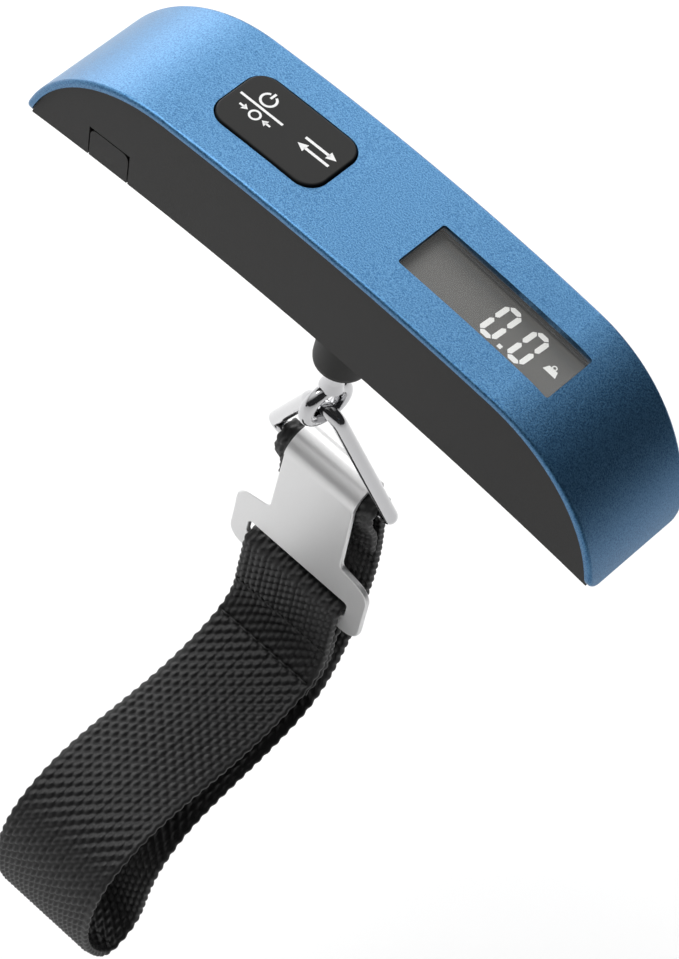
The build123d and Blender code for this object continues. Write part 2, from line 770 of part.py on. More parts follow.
def plate_outline():
    """Flat outline of the plate, seen from the front, below the curl."""
    half = PLATE_W / 2
    neck = NECK_W / 2
    foot = neck + NECK_FLARE
    wing = SLOT_TOP + WING_RISE
    side = [(neck, 0.0), (foot, wing), (half, wing - WING_SLOPE), (half, PLATE_LOW)]
    mirrored = [(-x, y) for x, y in reversed(side)]
    face = make_face(Polyline(*side, *mirrored, close=True))
    rounds = {1: NECK_R, 2: WING_R, 3: FOOT_R}
    for index, radius in rounds.items():
        x, y = side[index]
        corners = [v for v in face.vertices() if math.hypot(abs(v.X) - x, v.Y - y) < 0.01]
        face = fillet(corners, radius)
    slot = Pos(0, (SLOT_TOP + SLOT_LOW) / 2) * RectangleRounded(SLOT_W, SLOT_H, SLOT_R)
    return face - slot


def in_plate(shape):
    """Move from the bar's frame, y back along the plate's normal and z up it, to the object."""
    return Pos(*bar_place()) * Rot(PLATE_LEAN, 0, 0) * shape


def hook_plate():
    """Stamped steel plate curled over the bar at its top."""
    flat = extrude(Plane.XZ * plate_outline(), PLATE_T / 2, both=True)
    rims = [e for e in flat.edges() if abs(abs(e.center().Y) - PLATE_T / 2) < 0.001 and e.center().Z < -0.01]
    flat = Pos(0, PLATE_U, 0) * fillet(rims, PLATE_EDGE_R)
    outer = Rot(0, 90, 0) * Cylinder(CURL_R + PLATE_T, NECK_W)
    inner = Rot(0, 90, 0) * Cylinder(CURL_R, 2 * NECK_W)
    upper = box(-NECK_W, NECK_W, -FAR, FAR, 0, FAR)
    curl = (outer - inner) & upper
    lip = box(-NECK_W / 2, NECK_W / 2, CURL_R, CURL_R + PLATE_T, -CURL_LIP, 0)
    lip = fillet(lip.edges().filter_by(Axis.Y).group_by(Axis.Z)[0], CURL_LIP * 0.8)
    return in_plate(flat + curl + lip)


# ---------------------------------------------------------------- webbing


def beside(line, at, offset):
    """Point at a share of a line, moved sideways by offset."""
    way = line.tangent_at(at).normalized()
    return line.position_at(at) + Vector(-way.Y, way.X) * offset


def band(lines, thickness, width):
    """Webbing of constant thickness along joined lines in the Y-Z plane."""
    kinds = {GeomType.LINE: (1, Line), GeomType.CIRCLE: (2, ThreePointArc)}
    sides = ([], [])
    for line in lines:
        count, kind = kinds.get(line.geom_type, (max(6, int(line.length / 0.9)), Spline))
        for side, sign in zip(sides, (1, -1)):
            points = [beside(line, i / count, sign * thickness / 2) for i in range(count + 1)]
            if side:
                points[0] = side[-1] @ 1
            side.append(kind(*points))
    left, right = sides
    ends = [Line(left[-1] @ 1, right[-1] @ 1), Line(right[0] @ 0, left[0] @ 0)]
    face = Plane.YZ * make_face(Curve() + left + right + ends)
    return extrude(face, width / 2, both=True)


def strap_end():
    """Sewn end of the webbing, folded through the plate's slot."""
    front = PLATE_U - PLATE_T / 2 - FOLD_CLEAR - STRAP_T / 2
    back = PLATE_U + PLATE_T / 2 + FOLD_CLEAR + STRAP_T / 2
    radius = (back - front) / 2
    top = SLOT_LOW - FOLD_CLEAR
    low = -STRAP_SPLIT
    sewn = front + LAYER
    bend = PLATE_LOW - 4.6
    lines = [
        Line((front, low + 2.6), (front, top)),
        ThreePointArc((front, top), (PLATE_U, top + radius), (back, top)),
        Line((back, top), (back, PLATE_LOW - 0.4)),
        Spline((back, PLATE_LOW - 0.4), (sewn, bend), tangents=[(0, -1), (0, -1)]),
        Line((sewn, bend), (sewn, low + SPLIT_GAP)),
    ]
    return in_plate(band(lines, STRAP_T, STRAP_W))


def strap():
    """Webbing from the sewn end, round its long loop and over the triangle's bar."""
    lean = math.radians(PLATE_LEAN)
    _, bar_y, bar_z = bar_place()
    split_u = PLATE_U - PLATE_T / 2 - FOLD_CLEAR - STRAP_T / 2 + LAYER
    split_v = -STRAP_SPLIT - SPLIT_GAP
    start = (
        split_u * math.cos(lean) - split_v * math.sin(lean),
        split_u * math.sin(lean) + split_v * math.cos(lean),
    )
    wrap_r = TRI_WIRE_R + WRAP_CLEAR + STRAP_T / 2
    loop = [
        start,
        (start[0] + 0.15, start[1] - 2.0),
        (start[0] - 0.9, start[1] - 6.0),
        (-6.5, start[1] - 11.6),
        (-20.0, -68.2),
        (-35.0, -68.4),
        (-49.0, -70.4),
        (-57.6, -77.0),
        (-60.2, -88.0),
        (-57.2, -101.5),
        (-51.0, -112.4),
        (-45.5, -116.6),
        (-41.0, -113.6),
        (-39.2, -104.0),
        (-37.8, -94.0),
        (-32.0, -85.5),
        (-20.0, -80.5),
        (-7.0, -77.2),
        (2.6, -71.5),
        (6.9, -61.0),
        (8.3, -48.0),
        (8.2, -34.0),
        (6.6, -21.0),
        (3.7, -9.5),
    ]
    main = Spline(*loop)
    tail_way = (0.244, -0.970)
    lines = [
        main,
        Spline(main @ 1, (wrap_r, 0), tangents=[main % 1, (0, 1)]),
        ThreePointArc((wrap_r, 0), (0, wrap_r), (-wrap_r, 0)),
        Spline((-wrap_r, 0), (1.7, -9.6), tangents=[(0, -1), tail_way]),
        Line((1.7, -9.6), (1.7 + 7.2 * tail_way[0], -9.6 + 7.2 * tail_way[1])),
    ]
    webbing = band(lines, STRAP_T, STRAP_W)
    return Pos(HOOK_X, bar_y, bar_z) * webbing


NODES = {
    "top_cover": top_cover,
    "shell": shell,
    "base_plate": base_plate,
    "battery_door": battery_door,
    "coin_cell": coin_cell,
    "negative_contact": negative_contact,
    "positive_contact": positive_contact,
    "base_screws": base_screws,
    "display_lens": display_lens,
    "lens_tape": lens_tape,
    "lcd_panel": lcd_panel,
    "lcd_frame": lcd_frame,
    "zebra_strips": zebra_strips,
    "display_board": display_board,
    "controller_blob": controller_blob,
    "key_rocker": key_rocker,
    "tact_switches": tact_switches,
    "key_board": key_board,
    "load_cell": load_cell,
    "strain_gauges": strain_gauges,
    "cell_screws": cell_screws,
    "hook_bush": hook_bush,
    "thrust_washer": thrust_washer,
    "hook_nut": hook_nut,
    "eye_hook": eye_hook,
    "triangle_ring": triangle_ring,
    "hook_plate": hook_plate,
    "strap_end": strap_end,
    "strap": strap,
}


def main():
    """Write one file per piece."""
    os.makedirs("parts", exist_ok=True)
    for name, make in NODES.items():
        shape = make()
        if isinstance(shape, list):
            shape = Compound(children=shape)
        export_step(shape, f"parts/{name}.step")


main()
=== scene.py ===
import json
import math

import bpy
import numpy as np
from mathutils import Matrix, Quaternion, Vector


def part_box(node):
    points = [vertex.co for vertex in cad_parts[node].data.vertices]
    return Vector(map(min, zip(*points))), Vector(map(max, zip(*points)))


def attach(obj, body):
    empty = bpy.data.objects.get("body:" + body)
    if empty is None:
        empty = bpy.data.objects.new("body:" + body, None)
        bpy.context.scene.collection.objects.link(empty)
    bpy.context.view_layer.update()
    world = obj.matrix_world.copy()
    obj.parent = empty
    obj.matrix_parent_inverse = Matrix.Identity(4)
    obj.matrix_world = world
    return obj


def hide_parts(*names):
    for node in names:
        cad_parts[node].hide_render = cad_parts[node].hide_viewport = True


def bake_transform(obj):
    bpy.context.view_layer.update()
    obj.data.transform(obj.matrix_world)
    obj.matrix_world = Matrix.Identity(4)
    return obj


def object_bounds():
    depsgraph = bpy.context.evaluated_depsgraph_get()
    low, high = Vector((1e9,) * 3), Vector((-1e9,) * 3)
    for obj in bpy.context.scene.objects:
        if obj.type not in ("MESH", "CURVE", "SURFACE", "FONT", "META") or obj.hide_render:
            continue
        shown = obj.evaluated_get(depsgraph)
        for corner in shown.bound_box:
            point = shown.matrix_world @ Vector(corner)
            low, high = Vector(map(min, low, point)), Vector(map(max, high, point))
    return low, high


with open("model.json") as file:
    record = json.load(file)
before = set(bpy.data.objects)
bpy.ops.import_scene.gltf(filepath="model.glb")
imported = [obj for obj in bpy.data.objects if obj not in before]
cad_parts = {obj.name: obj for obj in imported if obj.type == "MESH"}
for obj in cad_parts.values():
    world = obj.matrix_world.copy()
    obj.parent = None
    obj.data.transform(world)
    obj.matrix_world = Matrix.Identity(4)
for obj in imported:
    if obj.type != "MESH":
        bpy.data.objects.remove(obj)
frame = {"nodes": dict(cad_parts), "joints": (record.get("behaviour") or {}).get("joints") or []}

cad_low, cad_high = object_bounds()
anchors = {j["name"]: j for j in frame["joints"]}
nodes = frame["nodes"]

# ---------------------------------------------------------------- camera and studio
# The scale hangs from the hand above a pale floor. The camera stands to its right, well above it,
# and is rolled so that the body slants down across the picture.

bar_place = Vector(anchors["strap_swing"]["pos_m"])
camera_aim = bar_place + Vector((0.002375, -0.001138, 0.000559))
camera_azimuth = math.radians(25.02)
camera_elevation = math.radians(52.40)
camera_roll = math.radians(20.57)
camera_distance = 0.9624
camera_sensor = 36.0
camera_lens = 265.1

camera_data = bpy.data.cameras.new("studio_camera")
camera_data.sensor_width = camera_sensor
camera_data.sensor_fit = "HORIZONTAL"
camera_data.lens = camera_lens
camera_data.clip_end = 20.0
camera = bpy.data.objects.new("studio_camera", camera_data)
bpy.context.scene.collection.objects.link(camera)
back = Vector((
    math.sin(camera_azimuth) * math.cos(camera_elevation),
    -math.cos(camera_azimuth) * math.cos(camera_elevation),
    math.sin(camera_elevation),
))
camera.rotation_mode = "QUATERNION"
camera.location = camera_aim + back * camera_distance
upright = (-back).to_track_quat("-Z", "Y")
camera.rotation_quaternion = upright @ Quaternion((0, 0, 1), camera_roll)
bpy.context.scene.camera = camera
bpy.context.scene.view_settings.view_transform = "Standard"


millimetre = 0.001
noise_low = 0.3
noise_high = 0.7
noise_roughness = 0.6


def add_node(tree, kind, inputs=None, **settings):
    """A shader node with its settings and the values of its unlinked sockets."""
    made = tree.nodes.new(kind)
    for key, value in settings.items():
        setattr(made, key, value)
    for key, value in (inputs or {}).items():
        made.inputs[key].default_value = value
    return made


def start_material(name, colour, roughness, metallic=0.0, **sockets):
    """A material with one Principled shader, its constant values on the shader's own sockets."""
    material = bpy.data.materials.new(name)
    material.use_nodes = True
    tree = material.node_tree
    shader = tree.nodes["Principled BSDF"]
    shader.inputs["Base Color"].default_value = (*colour, 1.0)
    shader.inputs["Roughness"].default_value = roughness
    shader.inputs["Metallic"].default_value = metallic
    for key, value in sockets.items():
        shader.inputs[key.replace("_", " ")].default_value = value
    return material, tree, shader


def add_noise(tree, detail):
    """A noise node whose scale comes from the mapping in front of it."""
    settings = {"Scale": 1.0, "Detail": detail, "Roughness": noise_roughness}
    return add_node(tree, "ShaderNodeTexNoise", settings)


def grain(tree, size, detail=2.0, stretch=(1.0, 1.0, 1.0)):
    """Noise on Object coordinates: grains of about size metres, longer where stretch is above 1."""
    place = add_node(tree, "ShaderNodeTexCoord")
    scale = [1.0 / (size * s) for s in stretch]
    mapping = add_node(tree, "ShaderNodeMapping", {"Scale": scale})
    noise = add_noise(tree, detail)
    tree.links.new(place.outputs["Object"], mapping.inputs["Vector"])
    tree.links.new(mapping.outputs["Vector"], noise.inputs["Vector"])
    return noise.outputs["Fac"]


def colour_ramp(tree, value, dark, light, start, end):
    """Colour from dark to light as the value goes from start to end."""
    ramp = add_node(tree, "ShaderNodeValToRGB")
    for element, place, colour in zip(ramp.color_ramp.elements, (start, end), (dark, light)):
        element.position = place
        element.color = (*colour, 1.0)
    tree.links.new(value, ramp.inputs["Fac"])
    return ramp.outputs["Color"]


def tint(tree, shader, value, dark, light, start=noise_low, end=noise_high):
    """Base colour from dark to light as the noise goes from start to end."""
    colour = colour_ramp(tree, value, dark, light, start, end)
    tree.links.new(colour, shader.inputs["Base Color"])


def roughen(tree, shader, value, low, high):
    """Roughness from low to high with the noise."""
    ramp = add_node(tree, "ShaderNodeMapRange", {
        "From Min": noise_low, "From Max": noise_high, "To Min": low, "To Max": high,
    })
    tree.links.new(value, ramp.inputs["Value"])
    tree.links.new(ramp.outputs["Result"], shader.inputs["Roughness"])


def emboss(tree, shader, value, height):
    """Bump of the given height in metres."""
    bump = add_node(tree, "ShaderNodeBump", {"Strength": 1.0, "Distance": height})
    tree.links.new(value, bump.inputs["Height"])
    tree.links.new(bump.outputs["Normal"], shader.inputs["Normal"])


def wear(material, *names):
    """The material in every slot of these CAD nodes."""
    for name in names:
        mesh = nodes[name].data
        mesh.materials.clear()
        mesh.materials.append(material)


def add_piece(name, verts, faces, material):
    """A mesh object with one material, linked to the scene."""
    mesh = bpy.data.meshes.new(name)
    mesh.from_pydata(verts, [], faces)
    mesh.materials.append(material)
    made = bpy.data.objects.new(name, mesh)
    bpy.context.scene.collection.objects.link(made)
    return made


def square(half, z):
    """Corners of a level square about the origin, counter-clockwise from above."""
    return [(-half, -half, z), (half, -half, z), (half, half, z), (-half, half, z)]


floor_drop = 0.09
floor_reach = 4.0
floor_z = cad_low.z - floor_drop
floor_paint = start_material("pale_floor", (0.95, 0.95, 0.95), 0.9)[0]
floor = add_piece("studio_floor", square(floor_reach, floor_z), [(0, 1, 2, 3)], floor_paint)

sky_bright_way = (-0.70, 0.15, 0.70)
sky_dark = (0.03, 0.03, 0.032)
sky_light = (1.0, 1.0, 1.0)
sky_dark_until = 0.28
sky_light_from = 0.78

world = bpy.data.worlds.new("studio_world")
bpy.context.scene.world = world
world.use_nodes = True
sky = world.node_tree
sky_shader = sky.nodes["Background"]
sky_place = add_node(sky, "ShaderNodeTexCoord")
sky_dot = add_node(sky, "ShaderNodeVectorMath", operation="DOT_PRODUCT")
sky_dot.inputs[1].default_value = sky_bright_way
sky.links.new(sky_place.outputs["Generated"], sky_dot.inputs[0])
sky_colour = colour_ramp(
    sky, sky_dot.outputs["Value"], sky_dark, sky_light, sky_dark_until, sky_light_from
)
sky.links.new(sky_colour, sky_shader.inputs["Color"])
sky_shader.inputs["Strength"].default_value = 1.0


def turn_to_bar(made, place, front):
    """The object set at a place from the ring's bar, its front axis turned to the bar."""
    made.location = bar_place + Vector(place)
    made.rotation_mode = "QUATERNION"
    made.rotation_quaternion = (-Vector(place)).to_track_quat(front, "Y")


def softbox(name, place, size, power):
    """A square area light turned to the ring's bar."""
    data = bpy.data.lights.new(name, "AREA")
    data.shape = "SQUARE"
    data.size = size
    data.energy = power
    made = bpy.data.objects.new(name, data)
    bpy.context.scene.collection.objects.link(made)
    turn_to_bar(made, place, "-Z")


def dark_card(name, place, size):
    """A square black card turned to the ring's bar, that gives the chrome its dark lines."""
    made = add_piece(name, square(size / 2, 0), [(0, 1, 2, 3)], card_black)
    turn_to_bar(made, place, "Z")


card_black = start_material("card_black", (0.01, 0.01, 0.01), 0.9)[0]
dark_card("low_card", (-0.35, -0.75, 0.06), 0.34)
dark_card("side_card", (0.75, -0.25, 0.12), 0.4)
dark_card("high_card", (0.5, -0.9, 0.95), 0.7)

softbox("key_light", (-0.9, -0.3, 1.5), 0.9, 17.0)
softbox("back_light", (-0.5, 1.4, 0.9), 0.8, 8.0)
softbox("left_light", (-1.15, 0.75, 0.32), 0.8, 6.0)

# ---------------------------------------------------------------- top cover
# One sheet of aluminium bent over the crown and both ends, bead blasted and anodised blue.
# The blast leaves a fine sparkle; the cut window and key hole show the same colour on their edges.

cover_dark = (0.024, 0.105, 0.235)
cover_light = (0.095, 0.245, 0.43)
blast_size = 0.0003
anodised, anodised_tree, anodised_shader = start_material(
    "blue_anodising", cover_light, 0.42, 0.9, Coat_Weight=0.25, Coat_Roughness=0.32
)
blast = grain(anodised_tree, blast_size, 3.0)
tint(anodised_tree, anodised_shader, blast, cover_dark, cover_light, 0.35, 0.62)
roughen(anodised_tree, anodised_shader, blast, 0.34, 0.5)
emboss(anodised_tree, anodised_shader, blast, 0.00006)
wear(anodised, "top_cover")

# ---------------------------------------------------------------- black mouldings
# Shell, base and battery door are moulded in black ABS with a fine spark texture from the mould.
# The key is the same plastic with a finer grain, so it looks a little deeper black.

moulding_dark = (0.017, 0.0165, 0.016)
moulding_light = (0.025, 0.0245, 0.0235)
moulded, moulded_tree, moulded_shader = start_material(
    "black_moulding", moulding_light, 0.5, Specular_IOR_Level=0.25
)
spark = grain(moulded_tree, 0.0003, 3.0)
tint(moulded_tree, moulded_shader, spark, moulding_dark, moulding_light)
roughen(moulded_tree, moulded_shader, spark, 0.48, 0.62)
emboss(moulded_tree, moulded_shader, spark, 0.00002)
wear(moulded, "shell", "base_plate", "battery_door")

key_dark = (0.010, 0.010, 0.0098)
key_light = (0.015, 0.015, 0.0145)
key_black, key_tree, key_shader = start_material("black_key", key_light, 0.55, Specular_IOR_Level=0.2)
key_grain = grain(key_tree, 0.00018, 2.0)
tint(key_tree, key_shader, key_grain, key_dark, key_light)
roughen(key_tree, key_shader, key_grain, 0.5, 0.62)
wear(key_black, "key_rocker")

# ---------------------------------------------------------------- key printing
# Four white signs are pad-printed on the key: power over a line, tare under it, and two arrows
# for changing the unit. Each is a film of ink a few hundredths of a millimetre thick.

ink_lift = 0.00003
key_top = 0.0054
key_half = 0.0122
key_pivot = Vector(anchors["key_rock"]["pos_m"])
key_low, key_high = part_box("key_rocker")
key_tilt = math.asin((key_high.z - key_pivot.z - key_top) / key_half)
key_face = Matrix.Translation(key_pivot) @ Matrix.Rotation(-key_tilt, 4, "Y")
key_face = key_face @ Matrix.Translation((0, 0, key_top + ink_lift))


def stroke(points, width):
    """Outline of an inked line through the points, in millimetres, cut square at both ends."""
    line = np.array(points, float)
    way = np.gradient(line, axis=0)
    way /= np.linalg.norm(way, axis=1)[:, None]
    side = np.stack((-way[:, 1], way[:, 0]), axis=1) * width / 2
    left, right = line + side, line - side
    count = len(line)
    faces = [(i, i + count, i + count + 1, i + 1) for i in range(count - 1)]
    return np.vstack((left, right)), faces


def arc(centre, radius, start, end, count=24):
    """Points of a circle's arc between two angles in degrees."""
    turn = np.radians(np.linspace(start, end, count))
    return np.stack((centre[0] + radius * np.cos(turn), centre[1] + radius * np.sin(turn)), axis=1)


def arrow(tip, y, way, head, tail, width):
    """An arrow along x: head is its length and half width, tail its line's ends behind the tip."""
    corners = [(tip, y), (tip - way * head[0], y + head[1]), (tip - way * head[0], y - head[1])]
    return [stroke([(tip - way * tail[0], y), (tip - way * tail[1], y)], width), patch(corners)]


def patch(points):
    """One flat outline."""
    return np.array(points, float), [tuple(range(len(points)))]


def print_signs(name, signs, place, material, body):
    """A flat piece made of (points, faces) outlines in millimetres, laid on a placed plane."""
    places, faces = [], []
    for points, sign_faces in signs:
        start = len(places)
        places += [place @ Vector((x * millimetre, y * millimetre, 0)) for x, y in points]
        faces += [tuple(start + i for i in face) for face in sign_faces]
    made = add_piece(name, places, faces, material)
    up = place.to_3x3() @ Vector((0, 0, 1))
    for face in made.data.polygons:
        if face.normal.dot(up) < 0:
            face.flip()
    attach(made, body)
    return made


power_at = (-6.7, 2.7)
power_radius = 1.55
power_arc = (115, 425)
power_bar = (0.5, 2.1)
power_width = 0.5
divider = ((-11.3, 0.2), (-1.1, 0.2))
divider_width = 0.55
tare_at = (-6.0, -1.9)
tare_radius = 1.05
tare_reach = 1.7
tare_width = 0.45
tare_head, tare_tail = (1.1, 0.8), (2.0, 0.6)
unit_at = (7.1, 0.3)
unit_reach = 3.8
unit_rise = 1.0
unit_width = 0.6
unit_head, unit_tail = (1.9, 1.0), (7.4, 1.6)
signs = [
    stroke(arc(power_at, power_radius, *power_arc), power_width),
    stroke([(power_at[0], power_at[1] + rise) for rise in power_bar], power_width),
    stroke(divider, divider_width),
    stroke(arc(tare_at, tare_radius, 0, 360), tare_width),
]
for side in (-1, 1):
    tip = tare_at[0] + side * tare_reach
    signs += arrow(tip, tare_at[1], -side, tare_head, tare_tail, tare_width)
for side in (-1, 1):
    tip, y = unit_at[0] + side * unit_reach, unit_at[1] + side * unit_rise
    signs += arrow(tip, y, side, unit_head, unit_tail, unit_width)
ink, ink_tree, ink_shader = start_material("white_ink", (0.78, 0.78, 0.78), 0.6)
ink_grain = grain(ink_tree, 0.0004, 2.0)
tint(ink_tree, ink_shader, ink_grain, (0.70, 0.70, 0.70), (0.82, 0.82, 0.82))
key_signs = print_signs("key_signs", signs, key_face, ink, "key")

# ---------------------------------------------------------------- display
# Clear acrylic window taped under the cover, over the glass of a dark liquid crystal.
# The lit segments read zero with one decimal, and a small weight stands beside them as the unit.

lens_clear = start_material(
    "clear_acrylic", (0.45, 0.45, 0.44), 0.05, Alpha=0.1, Specular_IOR_Level=0.7
)[0]
wear(lens_clear, "display_lens")
glass_dark, glass_tree, glass_shader = start_material("dark_crystal_glass", (0.09, 0.088, 0.082), 0.3)
haze = grain(glass_tree, 0.02, 1.0)
tint(glass_tree, glass_shader, haze, (0.07, 0.068, 0.063), (0.09, 0.087, 0.081))
wear(glass_dark, "lcd_panel")
tape_black = start_material("black_tape", (0.02, 0.02, 0.02), 0.7)[0]
wear(tape_black, "lens_tape", "lcd_frame")

glass_length = 0.039
glass_thick = 0.002
segment_lift = 0.00003
glass_low, glass_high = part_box("lcd_panel")
glass_tilt = math.asin((glass_high.z - glass_low.z - glass_thick) / glass_length)
left_x = glass_low.x + glass_thick * math.sin(glass_tilt)
left_top = Vector((left_x, 0, glass_high.z))
right_top = Vector((glass_high.x, 0, glass_high.z - glass_length * math.sin(glass_tilt)))
glass_face = Matrix.Translation((left_top + right_top) / 2) @ Matrix.Rotation(glass_tilt, 4, "Y")
glass_face = glass_face @ Matrix.Translation((0, 0, segment_lift))

digit_size = (4.0, 9.1)
digit_pitch = 6.7
digit_start = (-0.45, -3.6)
digit_slant = 0.06
bar_width = 1.1
bar_gap = 0.16


def segment(a, b):
    """One bar of a digit with pointed ends, slanted like the digit."""
    a, b = np.array(a, float), np.array(b, float)
    way = (b - a) / np.linalg.norm(b - a)
    side = np.array((-way[1], way[0])) * bar_width / 2
    a, b = a + way * bar_gap, b - way * bar_gap
    run = way * bar_width / 2
    points = np.array([a, a + run + side, b - run + side, b, b - run - side, a + run - side])
    points[:, 0] += digit_slant * points[:, 1]
    return points, [(0, 1, 2, 3, 4, 5)]


def zero_digit(x):
    """The six lit bars of a zero."""
    inset = bar_width / 2
    low, high = digit_start[1] + inset, digit_start[1] + digit_size[1] - inset
    left, right = x + inset, x + digit_size[0] - inset
    middle = (low + high) / 2
    corners = [(left, low), (right, low), (right, middle), (right, high), (left, high), (left, middle)]
    return [segment(corners[i], corners[(i + 1) % 6]) for i in range(6)]


dot_at = (4.8, -3.0)
dot_half = 0.45
dot_corners = [(x, y) for x, y, _ in square(dot_half, 0)]
weight_at = (14.2, 0.9)
weight_corners = [(-1.5, -0.95), (1.5, -0.95), (1.0, 0.45), (-1.0, 0.45)]
weight_ring_at = (weight_at[0], weight_at[1] + 0.75)
weight_ring = 0.42
weight_ring_width = 0.25
lit = zero_digit(digit_start[0]) + zero_digit(digit_start[0] + digit_pitch)
for place, corners in ((dot_at, dot_corners), (weight_at, weight_corners)):
    lit.append(patch([(place[0] + dx, place[1] + dy) for dx, dy in corners]))
lit.append(stroke(arc(weight_ring_at, weight_ring, 0, 360, 16), weight_ring_width))
segment_grey, _, segment_shader = start_material(
    "lit_segment", (0.72, 0.72, 0.70), 0.7, Emission_Strength=0.35
)
segment_shader.inputs["Emission Color"].default_value = (0.8, 0.8, 0.78, 1)
display_segments = print_signs("display_segments", lit, glass_face, segment_grey, "housing")

# ---------------------------------------------------------------- chromed eye and ring
# Bright chrome on steel wire, polished, with the faint ripple that plating leaves.
# The eye's shank goes up through a bush in the body, where a nut holds it and lets it turn.

chrome, chrome_tree, chrome_shader = start_material("bright_chrome", (0.55, 0.55, 0.56), 0.08, 1.0)
ripple = grain(chrome_tree, 0.0016, 2.0)
roughen(chrome_tree, chrome_shader, ripple, 0.05, 0.13)
emboss(chrome_tree, chrome_shader, ripple, 0.00004)
wear(chrome, "eye_hook", "triangle_ring")

# ---------------------------------------------------------------- hook plate
# Stamped steel, tumbled and nickel plated: bright, with faint marks of the rollers along its length.
# Its edges are rounded by the tumbling and catch the light.

plated, plated_tree, plated_shader = start_material("plated_steel", (0.82, 0.82, 0.82), 0.42, 0.6)
rolled = grain(plated_tree, 0.0004, 2.0, (1.0, 1.0, 12.0))
roughen(plated_tree, plated_shader, rolled, 0.38, 0.46)
emboss(plated_tree, plated_shader, rolled, 0.000002)
wear(plated, "hook_plate")

# ---------------------------------------------------------------- parts inside the body
# Milled aluminium load cell with amber foil gauges, green circuit boards, a black epoxy blob,
# grey silicone connectors, steel fasteners and coin cell, brass bush and nickel-plated contacts.


def inner_part(name, dark, light, roughness, metallic, size, *names):
    """A material with a fine grain for pieces that only show when the body is opened."""
    made, tree, shader = start_material(name, light, roughness, metallic)
    fleck = grain(tree, size, 2.0)
    tint(tree, shader, fleck, dark, light)
    roughen(tree, shader, fleck, roughness * 0.85, roughness * 1.15)
    wear(made, *names)


inner_part("milled_aluminium", (0.55, 0.55, 0.56), (0.68, 0.68, 0.69), 0.32, 1.0, 0.0006, "load_cell")
inner_part("amber_film", (0.42, 0.20, 0.04), (0.55, 0.28, 0.07), 0.3, 0.0, 0.0004, "strain_gauges")
inner_part("green_board", (0.01, 0.10, 0.035), (0.02, 0.15, 0.05), 0.35, 0.0, 0.0012,
           "display_board", "key_board")
inner_part("black_epoxy", (0.008, 0.008, 0.008), (0.014, 0.014, 0.014), 0.2, 0.0, 0.0015, "controller_blob")
inner_part("grey_silicone", (0.40, 0.40, 0.38), (0.52, 0.52, 0.50), 0.6, 0.0, 0.0005, "zebra_strips")
inner_part("zinc_steel", (0.42, 0.42, 0.43), (0.55, 0.55, 0.56), 0.35, 1.0, 0.0005,
           "hook_nut", "thrust_washer", "tact_switches")
inner_part("black_zinc", (0.05, 0.05, 0.05), (0.09, 0.09, 0.09), 0.4, 0.8, 0.0004,
           "base_screws", "cell_screws")
inner_part("cell_steel", (0.60, 0.60, 0.60), (0.70, 0.70, 0.70), 0.25, 1.0, 0.0008, "coin_cell")
inner_part("nickel_contact", (0.58, 0.55, 0.48), (0.68, 0.65, 0.58), 0.28, 1.0, 0.0006,
           "positive_contact", "negative_contact")
inner_part("turned_brass", (0.55, 0.36, 0.12), (0.68, 0.47, 0.18), 0.28, 1.0, 0.0005, "hook_bush")

# ---------------------------------------------------------------- webbing
# Coarse woven polypropylene webbing, 25 mm wide, in one strap. One end is folded through the
# plate's slot and sewn behind the front leg; the other wraps the ring's bar and is sewn to the back leg.

webbing_width = 0.025
webbing_thick = 0.0014
float_repeat = 0.0026
column_pitch = 0.00136
float_slant = 0.42
float_height = 0.00034
float_fullness = 0.6
edge_bump = 0.00032
edge_calm = 0.0012
edge_calm_least = 0.2
stitch_groove = 0.00055
groove_width = 0.0006
sewn_at = (0.0150, 0.0252)
fold_centre = (-3.88, -35.9)
fold_radius = 1.6
wrap_radius = 2.35
along_step = 0.0004
path_samples = 8000
across_count = 76
edge_count = 5
uv_per_metre = 100
face_share = 0.99
plate_way = anchors["plate_lift"]["axis"]
plate_lean = math.atan2(-plate_way[1], plate_way[2])


def on_plate(u, v):
    """A point given behind and up the plate, in millimetres from the bar, as (y, z)."""
    return (
        u * math.cos(plate_lean) - v * math.sin(plate_lean),
        u * math.sin(plate_lean) + v * math.cos(plate_lean),
    )


def smooth_path(knots, step):
    """Points every step along the natural cubic spline through the knots, with their run along it."""
    knots = np.array(knots, float)
    steps = np.diff(knots, axis=0)
    gaps = np.linalg.norm(steps, axis=1)
    at = np.concatenate(([0.0], np.cumsum(gaps)))
    count = len(knots)
    rows = np.arange(1, count - 1)
    system = np.eye(count)
    system[rows, rows - 1] = gaps[:-1]
    system[rows, rows] = 2 * (gaps[:-1] + gaps[1:])
    system[rows, rows + 1] = gaps[1:]
    bend = np.zeros((count, 2))
    slopes = steps / gaps[:, None]
    bend[rows] = 6 * np.diff(slopes, axis=0)
    bend = np.linalg.solve(system, bend)
    t = np.linspace(0, at[-1], path_samples)
    cell = np.clip(np.searchsorted(at, t, "right") - 1, 0, count - 2)
    gap = gaps[cell]
    after = ((t - at[cell]) / gap)[:, None]
    before = 1 - after
    curve = before * knots[cell] + after * knots[cell + 1]
    pull = (before**3 - before) * bend[cell] + (after**3 - after) * bend[cell + 1]
    curve += pull * (gap**2 / 6)[:, None]
    run = np.concatenate(([0.0], np.cumsum(np.linalg.norm(np.diff(curve, axis=0), axis=1))))
    even = np.linspace(0, run[-1], int(run[-1] / step) + 1)
    return np.stack([np.interp(even, run, curve[:, i]) for i in range(2)], axis=1), even


